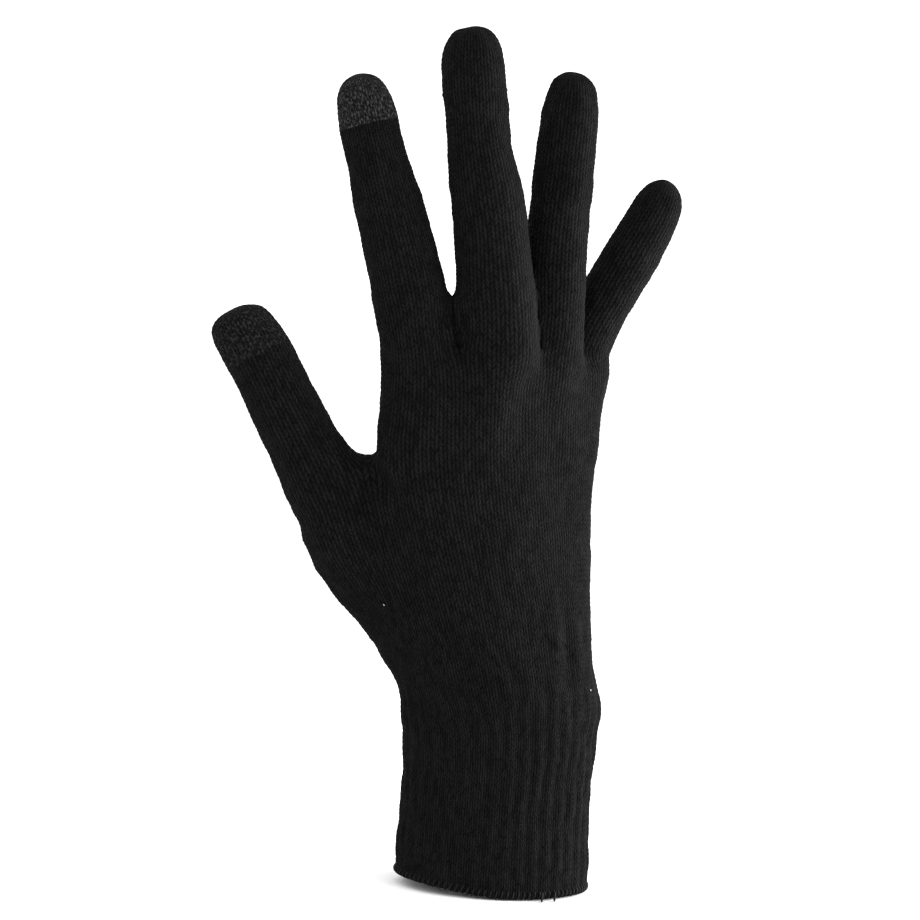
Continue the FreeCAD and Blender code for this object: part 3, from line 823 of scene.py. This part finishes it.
class Nodes:
    """A short way to write a material's node tree."""

    def __init__(self, name):
        self.material = bpy.data.materials.new(name)
        self.material.use_nodes = True
        self.tree = self.material.node_tree
        self.shader = self.tree.nodes["Principled BSDF"]

    def new(self, kind, inputs=(), **settings):
        node = self.tree.nodes.new("ShaderNode" + kind)
        for key, value in settings.items():
            setattr(node, key, value)
        for key, value in dict(inputs).items():
            if isinstance(value, bpy.types.NodeSocket):
                self.tree.links.new(value, node.inputs[key])
            else:
                node.inputs[key].default_value = value
        return node

    def math(self, operation, a, b=0.0, c=0.0, clamp=False):
        node = self.new("Math", {0: a, 1: b, 2: c}, operation=operation, use_clamp=clamp)
        return node.outputs[0]

    def vector(self, operation, a, b=(0.0, 0.0, 0.0)):
        node = self.new("VectorMath", {0: a, 1: b}, operation=operation)
        return node.outputs["Value" if operation == "DISTANCE" else "Vector"]

    def shaded(self, color, shade):
        node = self.new("VectorMath", {0: color, "Scale": shade}, operation="SCALE")
        return node.outputs["Vector"]

    def remap(self, value, low, high, new_low=0.0, new_high=1.0):
        node = self.new("MapRange", {"Value": value, "From Min": low, "From Max": high,
                                     "To Min": new_low, "To Max": new_high})
        return node.outputs["Result"]

    def noise(self, vector, scale, detail=2.0, roughness=0.5):
        node = self.new("TexNoise", {"Vector": vector, "Scale": scale, "Detail": detail,
                                     "Roughness": roughness})
        return node.outputs["Fac"]

    def random(self, vector):
        node = self.new("TexWhiteNoise", {"Vector": vector}, noise_dimensions="2D")
        return node.outputs["Value"]

    def mix(self, share, a, b):
        return self.new("Mix", {0: share, 6: a, 7: b}, data_type="RGBA").outputs[2]

    def finish(self, color, roughness, height, distance, strength, **fixed):
        """Links the shader's colour, roughness and bump, and sets its fixed sockets."""
        bump = self.new("Bump", {"Height": height, "Distance": distance, "Strength": strength})
        linked = {"Base Color": color, "Roughness": roughness, "Normal": bump.outputs[0]}
        for key, value in linked.items():
            self.tree.links.new(value, self.shader.inputs[key])
        for key, value in fixed.items():
            self.shader.inputs[key.replace("_", " ")].default_value = value
        return self.material


def knit_material(name, yarn, fleck=None, share=0.0):
    """Knitted yarn: stitch legs with painted shade between, hairs, uneven dye, a little lint, any
    flecks.
    """
    nodes = Nodes(name)
    uv = nodes.new("UVMap", uv_map=PLACE).outputs[0]
    split = nodes.new("SeparateXYZ", {0: uv})
    wale, course = split.outputs[0], split.outputs[1]
    across = nodes.math("ABSOLUTE", nodes.math("SUBTRACT", nodes.math("FRACT", wale), 0.5))
    off_leg = nodes.math("ABSOLUTE", nodes.math("SUBTRACT", across, 0.25))
    hollow = nodes.math("POWER", nodes.math("MULTIPLY", off_leg, 4.0), 2.0)
    leg = nodes.math("SUBTRACT", 1.0, hollow, clamp=True)
    scaled = nodes.vector("MULTIPLY", uv, (2.1, 1.4, 1.0))
    wander = nodes.math("MULTIPLY", nodes.noise(scaled, 0.33, 2.0), 1.6)
    climb = nodes.math("MULTIPLY", across, LEG_SLOPE)
    phase = nodes.math("SUBTRACT", nodes.math("ADD", course, wander), climb)
    turn = nodes.math("COSINE", nodes.math("MULTIPLY", phase, 2 * math.pi))
    yarn_height = nodes.math("MULTIPLY", leg, nodes.math("MULTIPLY_ADD", turn, 0.3, 0.7))
    folded_wale = nodes.math("MULTIPLY", nodes.math("PINGPONG", wale, 0.5), 9.0)
    leaning = nodes.new("CombineXYZ", {0: folded_wale, 1: nodes.math("MULTIPLY", phase, 2.2),
                                       2: nodes.math("FLOOR", wale)}).outputs[0]
    hairs = nodes.noise(leaning, 1.6, 3.0, 0.7)
    grain = nodes.noise(scaled, 3.1, 3.0, 0.65)
    patches = nodes.noise(scaled, 0.06, 3.0, 0.6)
    leg_number = nodes.math("FLOOR", nodes.math("MULTIPLY", wale, 2.0))
    stitch = nodes.new("CombineXYZ", {0: leg_number, 1: nodes.math("FLOOR", phase)}).outputs[0]
    # Painted shade: the colour is darkest in the hollows between the legs and where they dip under
    # the next course; the factors below are the dye's random tone.
    shade = nodes.remap(yarn_height, 0.0, 1.0, 0.15, 1.25)
    for source, *levels in ((nodes.random(stitch), 0.0, 1.0, 0.6, 1.4),
                            (grain, 0.25, 0.75, 0.1, 2.3), (patches, 0.3, 0.7, 0.86, 1.14)):
        shade = nodes.math("MULTIPLY", shade, nodes.remap(source, *levels))
    color = nodes.shaded(yarn, shade)
    if fleck:
        stretched = nodes.vector("MULTIPLY", scaled, (1.0, 0.6, 1.0))
        large = nodes.remap(nodes.noise(stretched, 1.5, 1.0, 0.5), 0.5, 0.72)
        small = nodes.remap(nodes.noise(stretched, 2.6, 1.0, 0.5), 0.48, 0.7)
        flecks = nodes.math("MULTIPLY_ADD", small, share, large, clamp=True)
        color = nodes.mix(flecks, color, fleck)
    cell = nodes.vector("MULTIPLY", uv, LINT_CELLS)
    number = nodes.random(nodes.vector("FLOOR", cell))
    off_middle = nodes.vector("DISTANCE", nodes.vector("FRACTION", cell), (0.5, 0.5, 0.0))
    lint = nodes.math("MULTIPLY", nodes.math("GREATER_THAN", number, LINT_RARITY),
                      nodes.math("LESS_THAN", off_middle, LINT_RADIUS))
    color = nodes.mix(lint, color, LINT)
    rough_yarn = nodes.math("MULTIPLY_ADD", grain, 0.5, yarn_height)
    relief = nodes.math("MULTIPLY_ADD", hairs, 0.45, rough_yarn)
    roughness = nodes.remap(grain, 0.2, 0.8, 0.78, 0.98)
    return nodes.finish(color, roughness, relief, 0.00028, 0.8, Specular_IOR_Level=0.03,
                        Sheen_Weight=SHEEN, Sheen_Roughness=0.55, Sheen_Tint=SHEEN_TINT)


def thread_material(name, yarn, scale):
    """A twisted sewing thread: slanting plies with painted shade between them, hairs and an uneven
    dye.
    """
    nodes = Nodes(name)
    where = nodes.new("TexCoord").outputs["Object"]
    plies = nodes.new("TexWave", {"Vector": where, "Scale": scale, "Distortion": 1.2,
                                  "Detail": 2.0}, bands_direction="DIAGONAL").outputs["Fac"]
    grain = nodes.noise(where, scale * 6, 3.0, 0.6)
    # Painted shade: the colour is darker in the grooves between the plies; the grain factor is the
    # dye's uneven tone.
    shade = nodes.math("MULTIPLY", nodes.remap(plies, 0.0, 1.0, 0.6, 1.25),
                       nodes.remap(grain, 0.25, 0.75, 0.7, 1.35))
    relief = nodes.math("MULTIPLY_ADD", grain, 0.3, plies)
    roughness = nodes.remap(grain, 0.2, 0.8, 0.45, 0.7)
    return nodes.finish(nodes.shaded(yarn, shade), roughness, relief, 0.00008, 0.6,
                        Specular_IOR_Level=0.12, Sheen_Weight=0.01)


plain = knit_material("plain knit", BLACK_YARN)
ribbed = knit_material("ribbed knit", RIBBED_YARN)
heather = knit_material("conductive knit", INDEX_YARN, INDEX_FLECK, 0.35)
# The thumb's cap: the same conductive knit with darker yarn and dimmer, fewer flecks, which is
# painted shade.
shaded_heather = knit_material("conductive knit, thumb", THUMB_SHADED_YARN, THUMB_SHADED_FLECK, 0.3)
thread = thread_material("overlock thread", THREAD_COLOR, 900)
elastic = thread_material("covered elastic", ELASTIC_COLOR, 500)

# ---- pieces


def make_piece(name, points, faces, material, slot, places=None, normals=None):
    """A mesh object from arrays, in metres."""
    mesh = bpy.data.meshes.new(name)
    mesh.vertices.add(len(points))
    mesh.vertices.foreach_set("co", (points * MM).astype(np.float32).ravel())
    mesh.loops.add(faces.size)
    mesh.loops.foreach_set("vertex_index", faces.astype(np.int32).ravel())
    mesh.polygons.add(len(faces))
    mesh.polygons.foreach_set("loop_start", np.arange(len(faces), dtype=np.int32) * faces.shape[1])
    mesh.polygons.foreach_set("use_smooth", np.ones(len(faces), bool))
    mesh.update(calc_edges=True)
    if places is not None:
        mesh.uv_layers.new(name=PLACE).uv.foreach_set("vector", places.astype(np.float32).ravel())
    mesh.materials.append(material)
    if normals is not None:
        mesh.normals_split_custom_set_from_vertices(normals)
    piece = add_object(name, mesh)
    return piece


def lining():
    """The knit's inner face, one face for each stitch: points, faces, pieces, places, normals."""
    faces = np.array(knit.quads)
    cells = np.array(knit.cells)
    normals = vertex_normals(points, faces)
    inner = points - normals * KNIT_WALL
    kept = cells[:, 1] >= HEM_ROWS
    corners = np.stack([cells, cells + (1, 0), cells + (1, 1), cells + (0, 1)], axis=1)
    numbers = np.array([PIECES.index(label) for label in knit.piece])
    return inner, faces[kept][:, ::-1], numbers[kept], corners[kept][:, ::-1], -normals


def piece_part(number, points, faces, pieces, places, normals):
    """One piece's share of a surface, with its points numbered from 0."""
    chosen = faces[pieces == number]
    used, renumbered = np.unique(chosen, return_inverse=True)
    return points[used], renumbered.reshape(chosen.shape), places[pieces == number], normals[used]


def make_knit_pieces():
    """Cuts the outer surface and its lining into pieces."""
    made = {}
    surfaces = [(fine_points, fine_faces, fine_pieces, fine_places, fine_normals), lining()]
    for number, label in enumerate(PIECES):
        outer, inner = (piece_part(number, *surface) for surface in surfaces)
        faces = np.vstack([outer[1], inner[1] + len(outer[0])])
        spots, places, normals = (np.concatenate([outer[i], inner[i]]) for i in (0, 2, 3))
        if label.endswith("_cap"):
            # The thumb's cap takes the darker copy of the conductive knit, which is painted shade.
            look = (shaded_heather if label == "thumb_cap" else heather, "conductive_knit")
        else:
            look = (ribbed, "rib_knit") if label == "cuff" else (plain, "plain_knit")
        made[label] = make_piece("knit_" + label, spots, faces, *look, places, normals)
    return made


def bend_between(piece):
    """Bakes a piece's transform into its mesh."""
    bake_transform(piece)


pieces = make_knit_pieces()
for label, fold, low_body, high_body in (("cuff", "wrist_side_fold", "cuff", "wrist_band"),
                                         ("wrist", "wrist_bend_fold", "wrist_band", "hand")):
    low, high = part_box(fold)
    bend_between(pieces[label])
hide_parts("cuff_hem", "cuff_rib", "wrist_side_fold")
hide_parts("wrist_band", "wrist_bend_fold")
for label in ("palm_lower", "palm_upper"):
    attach(pieces[label], "hand")
    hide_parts(label)
for name, digit in digits.items():
    middle = [name + "_middle"] if name != "thumb" else []
    chain = ["hand", name + "_root", name + "_proximal"] + middle + [name + "_distal"]
    parts = ("_root", "_lower", "_mid", "_tip")
    for part, low_body, high_body, fold in zip(parts, chain, chain[1:], digit.folds):
        bend_between(pieces[name + part])
    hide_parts(name + "_root_fold")
    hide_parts(name + "_root_band", name + "_knuckle_fold")
    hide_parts(name + "_proximal", name + "_middle_fold")
    if name == "thumb":
        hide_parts("thumb_distal")
    else:
        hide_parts(name + "_middle", name + "_tip_fold", name + "_distal")
    if name in CAPPED:
        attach(pieces[name + "_cap"], name + "_distal")
        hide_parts(name + "_conductive_cap")


def tube(path, outward, radius, sides):
    """A closed tube's points and faces; outward is a direction across its path at each point."""
    along = np.roll(path, -1, axis=0) - np.roll(path, 1, axis=0)
    along /= lengths(along)[:, None]
    first = outward - (outward * along).sum(1)[:, None] * along
    first /= lengths(first)[:, None]
    second = np.cross(along, first)
    angle = 2 * math.pi * np.arange(sides) / sides
    ring = first[:, None] * np.cos(angle)[:, None] + second[:, None] * np.sin(angle)[:, None]
    number = np.arange(len(path) * sides).reshape(len(path), sides)
    ahead, around = np.roll(number, -1, axis=0), np.roll(number, -1, axis=1)
    faces = np.stack([number, around, np.roll(ahead, -1, axis=1), ahead], axis=-1).reshape(-1, 4)
    return (path[:, None] + radius * ring).reshape(-1, 3), faces


def overlock():
    """The overlocking: one thread wound round the hem's edge all the way round the cuff."""
    steps = OVERLOCK_TURNS * OVERLOCK_STEPS
    edge = np.vstack([cuff_course(0), cuff_course(0)[:1]])
    at = np.arange(steps) / steps * WALES
    base = np.column_stack([np.interp(at, np.arange(WALES + 1), edge[:, i]) for i in range(3)])
    out = base - base.mean(axis=0)
    out[:, 2] = 0
    out /= lengths(out)[:, None]
    angle = 2 * math.pi * np.arange(steps) / OVERLOCK_STEPS
    base[:, 2] = 0
    middle = base - out * OVERLOCK_IN + UP * OVERLOCK_LEVEL
    swing = (out * (OVERLOCK_HALF_WIDTH * np.cos(angle))[:, None]
             + np.outer(OVERLOCK_HALF_HEIGHT * np.sin(angle), UP))
    path = middle + swing
    path[:, 2] += hem_lift(path)
    points, faces = tube(path, swing, THREAD_RADIUS, 6)
    piece = make_piece("overlock_thread", points, faces, thread, "sewing_thread")
    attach(piece, "cuff")
    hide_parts("hem_overlock")


overlock()
for name, node in frame["nodes"].items():
    if node.hide_render:
        continue
    chosen = elastic if name == "cuff_elastic_yarns" else thread
    if not node.data.materials:
        node.data.materials.append(None)
    for holder in node.material_slots:
        holder.material = chosen

# ---- camera, light and floor

camera_data = bpy.data.cameras.new("camera")
camera_data.lens = CAMERA_LENS
camera = add_object("camera", camera_data)
camera.location = Vector(CAMERA) * MM
look = (Vector(AIM) * MM - camera.location).normalized()
camera.rotation_mode = "QUATERNION"
roll = Matrix.Rotation(math.radians(CAMERA_ROLL), 3, "Z").to_quaternion()
camera.rotation_quaternion = look.to_track_quat("-Z", "Y") @ roll
bpy.context.scene.camera = camera

world = bpy.data.worlds.new("studio")
bpy.context.scene.world = world
world.use_nodes = True
sky = world.node_tree.nodes["Background"]
sky.inputs["Color"].default_value = (1, 1, 1, 1)
sky.inputs["Strength"].default_value = WORLD_LIGHT

for name, (place, energy, size) in LAMPS.items():
    lamp = bpy.data.lights.new(name, "AREA")
    lamp.energy, lamp.size = energy, size
    holder = add_object(name, lamp)
    holder.location = place
    towards = Vector(LAMP_AIM) - holder.location
    holder.rotation_euler = towards.to_track_quat("-Z", "Y").to_euler()
bpy.context.scene.view_settings.view_transform = "Standard"

mesh = bpy.data.meshes.new("floor")
corners = [(-FLOOR, -FLOOR, 0), (FLOOR, -FLOOR, 0), (FLOOR, FLOOR, 0), (-FLOOR, FLOOR, 0)]
mesh.from_pydata(corners, [], [(0, 1, 2, 3)])
add_object("floor", mesh)
nodes = Nodes("pale floor")
grain = nodes.noise(nodes.new("TexCoord").outputs["Object"], 60.0, 3.0)
color = nodes.shaded((0.9, 0.9, 0.9), nodes.remap(grain, 0.3, 0.7, 0.995, 1.005))
roughness = nodes.remap(grain, 0.0, 1.0, 0.85, 0.95)
mesh.materials.append(nodes.finish(color, roughness, grain, 0.0001, 0.1, Specular_IOR_Level=0.1))
